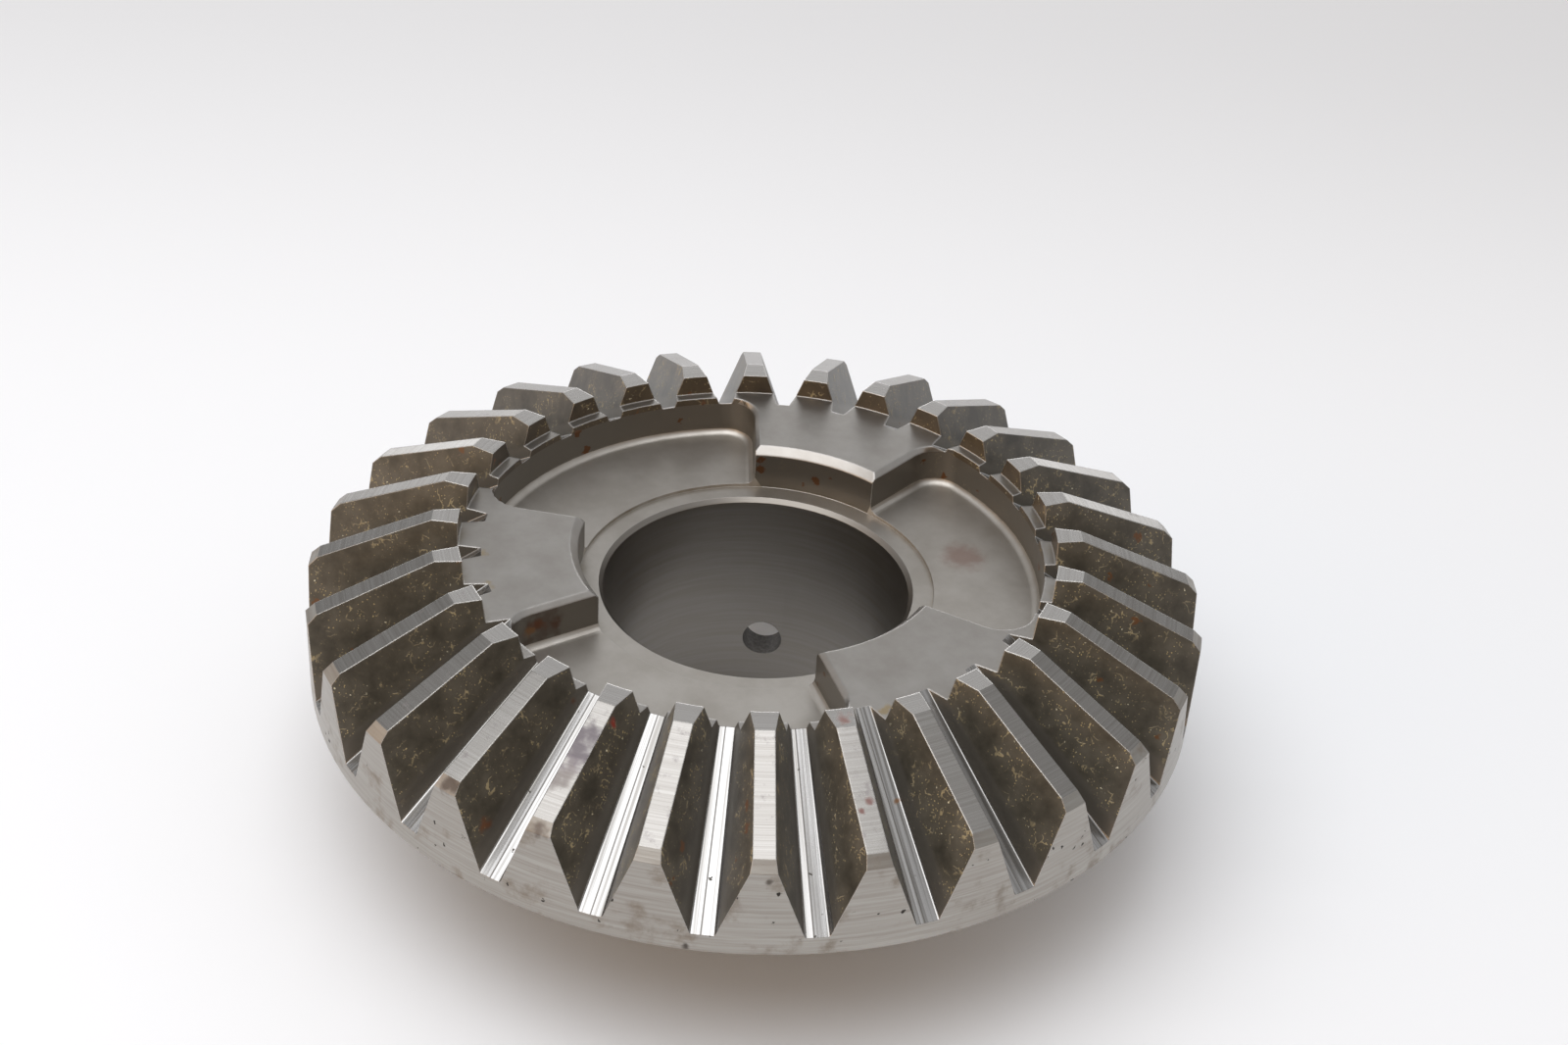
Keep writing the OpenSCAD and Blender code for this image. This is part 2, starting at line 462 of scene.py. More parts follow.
@dataclass(frozen=True)
class FacedLand:
    """Steel faced across the tooth tips and polished by use.

    It gives the eye a bright land with fine lines across each tooth, and a thin white edge.
    """

    name: str = "alloy_steel_faced"
    bright: str = "#9b9894"
    dull: str = "#87837e"
    tarnish: str = "#746c6f"
    roughness: float = 0.24
    edge_radius: float = 0.12
    mark_length: float = 40.0
    mark_width: float = 0.17
    mark_depth: float = 0.0006
    tarnish_size: float = 1.25
    stains: tuple[Stain, ...] = ()

    def material(self, gear: GearSizes) -> bpy.types.Material:
        """Build the finish.

        Args:
            gear: The sizes that its patterns follow.

        Returns:
            The material.
        """
        s = Surface(self.name, gear, self.edge_radius)
        tree = s.tree
        marks = s.circling(self.mark_length, self.mark_width, detail=1.0)
        tone = add_node(tree, "MapRange", {0: marks, FROM_MIN: 0.25, FROM_MAX: 0.75})
        cloud = add_node(
            tree,
            "TexNoise",
            {"Vector": s.point, "Scale": 1 / self.tarnish_size, "Detail": 7.0, "Roughness": 0.66},
        )
        tarnished = add_node(
            tree,
            "MapRange",
            {0: cloud, FROM_MIN: 0.56, FROM_MAX: 0.74, TO_MAX: 0.55},
            interpolation_type="SMOOTHSTEP",
        )
        colour: Any = linear(self.dull)
        for mask, coat in ((tone, self.bright), (tarnished, self.tarnish)):
            colour = add_node(
                tree,
                "Mix",
                {0: mask, MIX_A: colour, MIX_B: linear(coat)},
                MIX_RESULT,
                data_type="RGBA",
            )
        colour, cover = s.stained(colour, self.stains)
        soiled = tarnished
        if cover:
            soiled = add_node(tree, "Math", {0: tarnished, 1: cover}, operation="MAXIMUM")
        bare = add_node(tree, "Math", {0: soiled, 1: s.edge}, operation="SUBTRACT", use_clamp=True)
        rough = add_node(
            tree, "MapRange", {0: bare, TO_MIN: self.roughness, TO_MAX: self.roughness + 0.2}
        )
        metallic = add_node(tree, "MapRange", {0: bare, TO_MIN: 1.0, TO_MAX: 0.5})
        return s.shade(colour, metallic, rough, marks, self.mark_depth)


@dataclass(frozen=True)
class PlanedRoot:
    """Steel planed along the floors and the fillets of the tooth gaps.

    It gives the eye bright strips with streaks along them, the fine step between the two cuts, and a
    thin white line where a fillet catches the lamp.
    """

    name: str = "alloy_steel_planed"
    bright: str = "#b2b0ae"
    dull: str = "#84817d"
    step_colour: str = "#55514b"
    roughness: float = 0.24
    edge_radius: float = 0.05
    streak_length: float = 18.0
    streak_width: float = 0.22
    streak_depth: float = 0.006
    step_spread: float = 0.5
    step_width: float = 0.08
    step_core: float = 0.03
    fall: float = 0.035
    stains: tuple[Stain, ...] = ()

    def material(self, gear: GearSizes) -> bpy.types.Material:
        """Build the finish.

        Args:
            gear: The sizes that its patterns follow.

        Returns:
            The material.
        """
        s = Surface(self.name, gear, self.edge_radius)
        tree = s.tree
        streaks = s.lengthwise(self.streak_length, self.streak_width)
        tone = add_node(tree, "MapRange", {0: streaks, FROM_MIN: 0.32, FROM_MAX: 0.56})
        # The step lies at another place in each gap
        chance = add_node(tree, "TexWhiteNoise", {"W": s.gap}, noise_dimensions="1D")
        line = add_node(
            tree, "MapRange", {0: chance, TO_MIN: -self.step_spread / 2, TO_MAX: self.step_spread / 2}
        )
        off = add_node(tree, "Math", {0: s.across, 1: line}, operation="SUBTRACT")
        away = add_node(tree, "Math", {0: off}, operation="ABSOLUTE")
        step = add_node(
            tree,
            "MapRange",
            {0: away, FROM_MIN: self.step_width, FROM_MAX: self.step_core, TO_MAX: 0.7},
            interpolation_type="SMOOTHSTEP",
        )
        colour: Any = linear(self.dull)
        for mask, coat in ((tone, self.bright), (step, self.step_colour)):
            colour = add_node(
                tree,
                "Mix",
                {0: mask, MIX_A: colour, MIX_B: linear(coat)},
                MIX_RESULT,
                data_type="RGBA",
            )
        colour, cover = s.stained(colour, self.stains)
        specks = s.spots(spacing=0.8, share=0.12, size=0.2)
        colour = add_node(
            tree,
            "Mix",
            {0: specks, MIX_A: colour, MIX_B: linear(self.step_colour)},
            MIX_RESULT,
            data_type="RGBA",
        )
        soiled = add_node(tree, "Math", {0: step, 1: specks}, operation="MAXIMUM")
        if cover:
            soiled = add_node(tree, "Math", {0: soiled, 1: cover}, operation="MAXIMUM")
        rough = add_node(
            tree, "MapRange", {0: soiled, TO_MIN: self.roughness, TO_MAX: self.roughness + 0.25}
        )
        metallic = add_node(tree, "MapRange", {0: soiled, TO_MIN: 1.0, TO_MAX: 0.5})
        # The two cuts fall away a little from the step between them
        slope = -self.fall / self.streak_depth
        relief = add_node(tree, "Math", {0: away, 1: slope, 2: streaks}, operation="MULTIPLY_ADD")
        return s.shade(colour, metallic, rough, relief, self.streak_depth)


@dataclass(frozen=True)
class BakedOil:
    """Gear oil that heat has baked onto steel as a brown-black varnish.

    It gives the eye a dark film with gold-brown grains, thin curled threads of dried oil, dots of rust
    and bare bright steel along the edges.
    """

    name: str = "baked_oil_on_steel"
    film_dark: str = "#3b372f"
    film_light: str = "#625c51"
    foot: str = "#746f67"
    grain: str = "#c2ac78"
    # Near white: flakes of crust drawn as painted glints
    flake_glint: str = "#f6ecca"
    thread: str = "#b3a27c"
    rust: str = "#65442a"
    steel: str = "#cfccc8"
    roughness: float = 0.36
    edge_radius: float = 0.12
    grain_share: float = 0.25
    rust_share: float = 0.03
    foot_share: float = 0.32
    crust_depth: float = 0.025
    film_size: float = 2.5
    thread_loop: float = 1.4286
    thread_piece: float = 0.9091
    stains: tuple[Stain, ...] = ()

    def material(self, gear: GearSizes) -> bpy.types.Material:
        """Build the finish.

        Args:
            gear: The sizes that its patterns follow.

        Returns:
            The material.
        """
        s = Surface(self.name, gear, self.edge_radius)
        tree = s.tree
        cloud = add_node(
            tree,
            "TexNoise",
            {"Vector": s.point, "Scale": 1 / self.film_size, "Detail": 6.0, "Roughness": 0.6},
        )
        film = add_node(tree, "MapRange", {0: cloud, FROM_MIN: 0.3, FROM_MAX: 0.7})
        clean = self.cleaner_foot(s)
        patch = add_node(
            tree,
            "MapRange",
            {0: cloud, FROM_MIN: 0.42, FROM_MAX: 0.6},
            interpolation_type="SMOOTHSTEP",
        )
        loose = add_node(tree, "Math", {0: patch, 1: clean}, operation="SUBTRACT", use_clamp=True)
        grains = s.spots(spacing=0.18, share=self.grain_share, size=0.33)
        # Painted glints: sparse flakes of crust in near white, partly real crust and partly the sparkle of
        # the lamp painted in
        glinting_flakes = s.spots(spacing=0.5, share=0.25, size=0.15)
        grains, glinting_flakes, threads = (
            add_node(tree, "Math", {0: mask, 1: loose}, operation="MULTIPLY")
            for mask in (grains, glinting_flakes, self.threads(s))
        )
        rust = s.spots(spacing=1.3, share=self.rust_share, size=0.34)
        crust = add_node(tree, "Math", {0: grains, 1: threads}, operation="MAXIMUM")
        crust = add_node(tree, "Math", {0: crust, 1: glinting_flakes}, operation="MAXIMUM")
        colour: Any = linear(self.film_dark)
        for mask, coat in (
            (film, self.film_light),
            (clean, self.foot),
            (grains, self.grain),
            (glinting_flakes, self.flake_glint),
            (threads, self.thread),
            (rust, self.rust),
        ):
            colour = add_node(
                tree,
                "Mix",
                {0: mask, MIX_A: colour, MIX_B: linear(coat)},
                MIX_RESULT,
                data_type="RGBA",
            )
        colour, _ = s.stained(colour, self.stains)
        colour = add_node(
            tree,
            "Mix",
            {0: s.edge, MIX_A: colour, MIX_B: linear(self.steel)},
            MIX_RESULT,
            data_type="RGBA",
        )
        # The film thins out to steel at the foot of a flank, and is worn off along the edges
        thin = add_node(tree, "Math", {0: clean, 1: 0.75}, operation="MULTIPLY")
        metallic = add_node(tree, "Math", {0: thin, 1: s.edge}, operation="MAXIMUM")
        rough = add_node(
            tree, "MapRange", {0: crust, TO_MIN: self.roughness, TO_MAX: self.roughness + 0.2}
        )
        relief = add_node(tree, "Math", {0: cloud, 1: 0.4, 2: crust}, operation="MULTIPLY_ADD")
        return s.shade(colour, metallic, rough, relief, self.crust_depth)

    def cleaner_foot(self, s: Surface) -> bpy.types.NodeSocket:
        """Mask the foot of the flanks, where the teeth of the pinion kept the steel smooth.

        Args:
            s: The surface that is built.

        Returns:
            A mask from 0 to 1.
        """
        gear, tree = s.gear, s.tree
        slope = 1 / math.tan(math.radians(gear.root_angle))
        floor = add_node(
            tree, "Math", {0: s.radius, 1: -slope, 2: gear.apex_z}, operation="MULTIPLY_ADD"
        )
        above = add_node(tree, "Math", {0: s.height, 1: floor}, operation="SUBTRACT")
        depth = add_node(
            tree, "Math", {0: s.radius, 1: gear.gap_depth / gear.rim_r}, operation="MULTIPLY"
        )
        rise = add_node(tree, "Math", {0: above, 1: depth}, operation="DIVIDE")
        return add_node(
            tree,
            "MapRange",
            {0: rise, FROM_MIN: self.foot_share, FROM_MAX: 0.5 * self.foot_share, TO_MAX: 0.85},
            interpolation_type="SMOOTHSTEP",
        )

    def threads(self, s: Surface) -> bpy.types.NodeSocket:
        """Draw thin curled threads of dried oil.

        Args:
            s: The surface that is built.

        Returns:
            A mask from 0 to 1.
        """
        tree = s.tree
        loops, pieces = 1 / self.thread_loop, 1 / self.thread_piece
        swirl = add_node(tree, "TexNoise", {"Vector": s.point, "Scale": loops, "Detail": 3.0}, "Color")
        nudge = add_node(tree, "VectorMath", {0: swirl, "Scale": 2.4}, operation="SCALE")
        where = add_node(tree, "VectorMath", {0: s.point, 1: nudge}, operation="ADD")
        seam = add_node(
            tree,
            "TexVoronoi",
            {"Vector": where, "Scale": loops},
            "Distance",
            feature="DISTANCE_TO_EDGE",
        )
        line = add_node(
            tree,
            "MapRange",
            {0: seam, FROM_MIN: 0.042, FROM_MAX: 0.02},
            interpolation_type="SMOOTHSTEP",
        )
        broken = add_node(tree, "TexNoise", {"Vector": s.point, "Scale": pieces, "Detail": 1.0})
        kept = add_node(tree, "MapRange", {0: broken, FROM_MIN: 0.52, FROM_MAX: 0.6, TO_MAX: 0.7})
        return add_node(tree, "Math", {0: line, 1: kept}, operation="MULTIPLY")


@dataclass(frozen=True)
class SatinClutchFace:
    """Hardened steel of the clutch face, milled and worn to a satin.

    It gives the eye an even mid grey, and in the corners a brown haze that is partly oil and partly
    painted shade.
    """

    name: str = "hardened_steel_satin"
    clean: str = "#b0aca7"
    dull: str = "#a39e98"
    # Brown laid into the corners: partly oil, partly painted shade
    corner_oil_and_shade: str = "#766747"
    steel: str = "#a8a5a1"
    roughness: float = 0.36
    edge_radius: float = 0.25
    corner_reach: float = 1.8
    cloud_size: float = 3.5714
    haze_size: float = 1.6667
    grain_size: float = 0.16667
    grain_depth: float = 0.006
    stains: tuple[Stain, ...] = ()

    def material(self, gear: GearSizes) -> bpy.types.Material:
        """Build the finish.

        Args:
            gear: The sizes that its patterns follow.

        Returns:
            The material.
        """
        s = Surface(self.name, gear, self.edge_radius)
        tree = s.tree
        cloud = add_node(
            tree,
            "TexNoise",
            {"Vector": s.point, "Scale": 1 / self.cloud_size, "Detail": 7.0, "Roughness": 0.6},
        )
        tone = add_node(tree, "MapRange", {0: cloud, FROM_MIN: 0.35, FROM_MAX: 0.65})
        # Painted shade: ambient occlusion darkens the colour where corners and walls hide the room, in the
        # brown of oil and made patchy by noise
        open_sky = add_node(
            tree, "AmbientOcclusion", {"Distance": self.corner_reach * MM}, "AO", samples=8
        )
        painted_corner_shade = add_node(
            tree,
            "MapRange",
            {0: open_sky, FROM_MIN: 0.86, FROM_MAX: 0.4, TO_MAX: 0.6},
            interpolation_type="SMOOTHSTEP",
        )
        patchy = add_node(
            tree, "TexNoise", {"Vector": s.point, "Scale": 1 / self.haze_size, "Detail": 5.0}
        )
        held = add_node(tree, "MapRange", {0: patchy, FROM_MIN: 0.35, FROM_MAX: 0.65})
        oil_and_shade = add_node(tree, "Math", {0: painted_corner_shade, 1: held}, operation="MULTIPLY")
        colour: Any = linear(self.dull)
        for mask, coat in ((tone, self.clean), (oil_and_shade, self.corner_oil_and_shade)):
            colour = add_node(
                tree,
                "Mix",
                {0: mask, MIX_A: colour, MIX_B: linear(coat)},
                MIX_RESULT,
                data_type="RGBA",
            )
        colour, cover = s.stained(colour, self.stains)
        colour = add_node(
            tree,
            "Mix",
            {0: s.edge, MIX_A: colour, MIX_B: linear(self.steel)},
            MIX_RESULT,
            data_type="RGBA",
        )
        # The same mask of oil and painted shade makes the corners rougher and less metallic
        soiled = oil_and_shade
        if cover:
            soiled = add_node(tree, "Math", {0: oil_and_shade, 1: cover}, operation="MAXIMUM")
        rough = add_node(
            tree, "MapRange", {0: soiled, TO_MIN: self.roughness, TO_MAX: self.roughness + 0.12}
        )
        metallic = add_node(tree, "MapRange", {0: soiled, TO_MIN: 1.0, TO_MAX: 0.5})
        # The grain of a satin is finer than this, and is drawn as coarse as it needs to be to show
        fine = add_node(tree, "TexNoise", {"Vector": s.point, "Scale": 1 / self.grain_size, "Detail": 4.0})
        return s.shade(colour, metallic, rough, fine, self.grain_depth)


@dataclass(frozen=True)
class HonedBore:
    """Steel honed to a running fit for the shaft.

    It gives the eye a dark satin wall with fine rings and soft reflections.
    """

    name: str = "alloy_steel_honed"
    clean: str = "#8d8882"
    dull: str = "#878179"
    roughness: float = 0.34
    edge_radius: float = 0.08
    ring_length: float = 25.0
    ring_width: float = 0.35
    ring_depth: float = 0.0015

    def material(self, gear: GearSizes) -> bpy.types.Material:
        """Build the finish.

        Args:
            gear: The sizes that its patterns follow.

        Returns:
            The material.
        """
        s = Surface(self.name, gear, self.edge_radius)
        tree = s.tree
        # A hone's marks are finer than these rings, which are as coarse as they need to be to show
        rings = s.circling(self.ring_length, self.ring_width)
        tone = add_node(tree, "MapRange", {0: rings, FROM_MIN: 0.35, FROM_MAX: 0.65})
        colour = add_node(
            tree,
            "Mix",
            {0: tone, MIX_A: linear(self.dull), MIX_B: linear(self.clean)},
            MIX_RESULT,
            data_type="RGBA",
        )
        rough = add_node(
            tree, "MapRange", {0: rings, TO_MIN: self.roughness - 0.04, TO_MAX: self.roughness + 0.06}
        )
        return s.shade(colour, 1.0, rough, rings, self.ring_depth)


@dataclass(frozen=True)
class DrilledSteel:
    """Steel left rough by a drill, with oil in its grooves.

    It gives the eye a dark matt wall, against which the light behind the hole stands out.
    """

    name: str = "alloy_steel_drilled"
    clean: str = "#6e6a66"
    dull: str = "#55514d"
    roughness: float = 0.6
    metallic: float = 0.6
    edge_radius: float = 0.08
    groove_width: float = 0.25
    groove_depth: float = 0.02

    def material(self, gear: GearSizes) -> bpy.types.Material:
        """Build the finish.

        Args:
            gear: The sizes that its patterns follow.

        Returns:
            The material.
        """
        s = Surface(self.name, gear, self.edge_radius)
        tree = s.tree
        grit = add_node(
            tree, "TexNoise", {"Vector": s.point, "Scale": 1 / self.groove_width, "Detail": 4.0}
        )
        tone = add_node(tree, "MapRange", {0: grit, FROM_MIN: 0.35, FROM_MAX: 0.65})
        colour = add_node(
            tree,
            "Mix",
            {0: tone, MIX_A: linear(self.dull), MIX_B: linear(self.clean)},
            MIX_RESULT,
            data_type="RGBA",
        )
        return s.shade(colour, self.metallic, self.roughness, grit, self.groove_depth)


Finish = TurnedSteel | FacedLand | PlanedRoot | BakedOil | SatinClutchFace | HonedBore | DrilledSteel

# Stains that stand out one by one, by the surface that they lie on
TOE_STAINS = (
    Stain((22.4, -10.6, 25.0), 0.9, "#7d3a2c", 0.75),
)
LAND_STAINS = (
    Stain((12.7, -26.1, 23.6), 2.6, "#5c545a", 0.8),
    Stain((13.2, -27.6, 23.0), 1.2, "#655b60", 0.5),
    Stain((13.6, -28.6, 22.5), 1.4, "#5f5350", 0.5),
    Stain((28.2, -13.2, 22.7), 0.45, "#6b3a33", 0.7),
    Stain((28.4, -14.2, 22.5), 0.35, "#6b3a33", 0.7),
)
HEEL_STAINS = (
    Stain((8.0, -34.0, 21.0), 1.3, "#4d4038", 0.8),
    Stain((15.4, -31.8, 20.9), 1.0, "#574a42", 0.7),
    Stain((24.4, -25.9, 13.4), 0.5, "#2f2826", 0.8),
    Stain((28.0, -21.9, 19.8), 0.35, "#3c332d", 0.7),
)
FLANK_STAINS = (
    Stain((12.3, -23.5, 24.1), 0.55, "#8f2f22", 0.85),
    Stain((28.8, -16.3, 16.6), 0.55, "#8a4a1e", 0.85),
    Stain((26.4, -15.5, 17.8), 0.4, "#84522a", 0.8),
    Stain((9.4, -32.5, 17.4), 0.7, "#6e3d1c", 0.7),
    Stain((6.9, -23.1, 22.6), 0.5, "#77441d", 0.8),
)
WALL_STAINS = (
    Stain((-2.9, -18.8, 21.6), 2.4, "#4a3222", 0.5),
    Stain((-2.9, -19.3, 21.8), 0.9, "#6b3a1a", 0.7),
    Stain((-2.7, -17.8, 21.5), 0.8, "#54301c", 0.7),
    Stain((-3.0, -20.0, 21.3), 0.6, "#86592a", 0.7),
)
POCKET_STAINS = (
    Stain((7.4, 16.0, 19.8), 2.6, "#6e4a3e", 0.6, 0.9),
)
CLUTCH_STAINS = (
    Stain((21.8, -6.1, 23.3), 0.7, "#8a7440", 0.7),
    Stain((-7.6, -20.9, 23.1), 0.9, "#8a7444", 0.7),
    Stain((-11.8, -18.8, 23.1), 0.9, "#8a7444", 0.6),
)
ROOT_STAINS = (
    Stain((26.7, -8.8, 19.4), 0.35, "#7e5226", 0.8),
)


@dataclass
class ReverseGear:
    """The gear itself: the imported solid, smoothly shaded and dressed surface by surface."""

    sizes: GearSizes = field(default_factory=GearSizes)
    node: str = "reverse_gear"
    crease_angle: float = 20.0
    fillet_crease_angle: float = 32.0
    finishes: dict[Zone, Finish] = field(
        default_factory=lambda: {
            Zone.TURNED: TurnedSteel(stains=HEEL_STAINS),
            Zone.LAND: FacedLand(stains=LAND_STAINS),
            Zone.ROOT: PlanedRoot(stains=ROOT_STAINS),
            Zone.FLANK: BakedOil(stains=FLANK_STAINS),
            Zone.CLUTCH: SatinClutchFace(stains=CLUTCH_STAINS),
            Zone.WALL: BakedOil(
                name="baked_oil_on_walls",
                film_dark="#3d3428",
                film_light="#5a4e3c",
                grain_share=0.14,
                rust_share=0.12,
                # So low that the film is whole right down to the floor
                foot_share=0.0001,
                stains=WALL_STAINS,
            ),
            Zone.BORE: HonedBore(),
            # The milled floors of the pockets and the recess ring: drawn lighter than the dog tops, as
            # painted light that offsets the shade of the recesses
            Zone.POCKET: SatinClutchFace(
                name="hardened_steel_milled_painted_lighter",
                clean="#beb9b2",
                dull="#b0aaa2",
                roughness=0.42,
                edge_radius=0.08,
                stains=POCKET_STAINS,
            ),
            Zone.DRILLED: DrilledSteel(),
            # Painted light: the flat tops of the toes take the faced steel in far lighter colours than the
            # lands, for the light that their upward faces catch
            Zone.TOE: FacedLand(
                name="alloy_steel_faced_toe_painted_lighter", bright="#d0cdc9", dull="#c0bcb7", stains=TOE_STAINS
            ),
        }
    )

    def build(self) -> bpy.types.Object:
        """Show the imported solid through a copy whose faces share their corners.

        Returns:
            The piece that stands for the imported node.
        """
        joined = bmesh.new()
        joined.from_mesh(frame["nodes"][self.node].data)
        bmesh.ops.remove_doubles(joined, verts=joined.verts, dist=0.001 * MM)
        mesh = bpy.data.meshes.new("gear_body")
        joined.to_mesh(mesh)
        joined.free()
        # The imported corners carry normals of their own, which no longer fit the joined ones
        mesh.attributes.remove(mesh.attributes["custom_normal"])
        mesh.polygons.foreach_set("material_index", self.zones(mesh))
        self.crease(mesh)
        piece = bpy.data.objects.new("gear_body", mesh)
        bpy.context.scene.collection.objects.link(piece)
        even = piece.modifiers.new("even_shading", "WEIGHTED_NORMAL")
        even.keep_sharp = True
        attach(piece, "root")
        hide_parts(self.node)
        return piece

    def dress(self, piece: bpy.types.Object) -> None:
        """Give each surface of the gear its finish.

        Args:
            piece: The piece that build made.
        """
        for zone in Zone:
            piece.data.materials.append(self.finishes[zone].material(self.sizes))
            count = sum(face.material_index == zone.value for face in piece.data.polygons)
            log.info("%s: %d faces of %s", piece.name, count, zone.name.lower())

    def crease(self, mesh: bpy.types.Mesh) -> None:
        """Shade the mesh smoothly, save over the edges that are crisp on the gear.

        Args:
            mesh: The gear's mesh, with the zone of each face as its material number.
        """
        clutch = (Zone.CLUTCH.value, Zone.POCKET.value)
        shaded = bmesh.new()
        shaded.from_mesh(mesh)
        for edge in shaded.edges:
            # The fillets of the clutch face turn in wider steps than the other curves
            filleted = any(face.material_index in clutch for face in edge.link_faces)
            limit = self.fillet_crease_angle if filleted else self.crease_angle
            edge.smooth = edge.calc_face_angle(math.pi) < math.radians(limit)
        shaded.to_mesh(mesh)
        shaded.free()
        mesh.shade_smooth()

    def zones(self, mesh: bpy.types.Mesh) -> np.ndarray:
        """Sort the faces into surfaces by where they lie and which way they look.

        Args:
            mesh: The gear's mesh.

        Returns:
            The number of each face's zone.
        """
        g = self.sizes
        count = len(mesh.polygons)
        middle, normal = np.zeros(count * 3), np.zeros(count * 3)
        mesh.polygons.foreach_get("center", middle)
        mesh.polygons.foreach_get("normal", normal)
        middle = middle.reshape(-1, 3) / MM
        normal = normal.reshape(-1, 3)
        radius = np.hypot(middle[:, 0], middle[:, 1])
        out = middle[:, :2] / radius[:, None]
        sideways = np.abs(out[:, 0] * normal[:, 1] - out[:, 1] * normal[:, 0])
        upward, height = normal[:, 2], middle[:, 2]
        # How far a face may lie from a size that places it, in millimetres
        near = 0.06
        # Which way it looks, by the shares of its normal
        up, rising, steep = upward > 0.99, upward > 0.85, np.abs(upward) < 0.3
        to_side, far_to_side = sideways > 0.25, sideways > 0.3

        zone = np.full(count, Zone.TURNED.value)
        on_clutch = (radius < g.toe_inner_r + near) & (height > g.recess_z - near)
        zone[on_clutch] = Zone.CLUTCH.value
        upright = on_clutch & steep & (height > g.pocket_z + 0.6 * g.pocket_fillet)
        zone[on_clutch & (height < g.pocket_z + g.pocket_fillet)] = Zone.POCKET.value
        zone[upright] = Zone.WALL.value
        floor = g.apex_z - radius / math.tan(math.radians(g.root_angle))
        in_teeth = (radius > 0.9 * g.toe_inner_r) & (height > floor - near) & ~(up & on_clutch)
        in_teeth &= (radius < g.rim_r - near) | far_to_side
        # A flank looks to the side, a land looks up, and what lies lowest in a gap is its root
        cut = in_teeth & to_side & ~(on_clutch & (height < floor + near))
        land = in_teeth & ~to_side & (radius > g.toe_inner_r + near) & rising
        root = in_teeth & (height < floor + g.gap_fillet_rise) & ~on_clutch
        zone[cut] = Zone.FLANK.value
        zone[land] = Zone.LAND.value
        zone[land & up & (height > g.toe_z - near)] = Zone.TOE.value
        zone[root] = Zone.ROOT.value
        in_bore = (radius < g.bore_r + g.bore_bevel) & (height < g.recess_z - near)
        in_hole = (height < g.back_z) & (height > g.oil_hole_low_z)
        in_hole &= (radius < g.hub_r - near) & ~in_bore
        zone[in_bore] = Zone.BORE.value
        zone[in_hole] = Zone.DRILLED.value
        return zone.astype(np.int32)


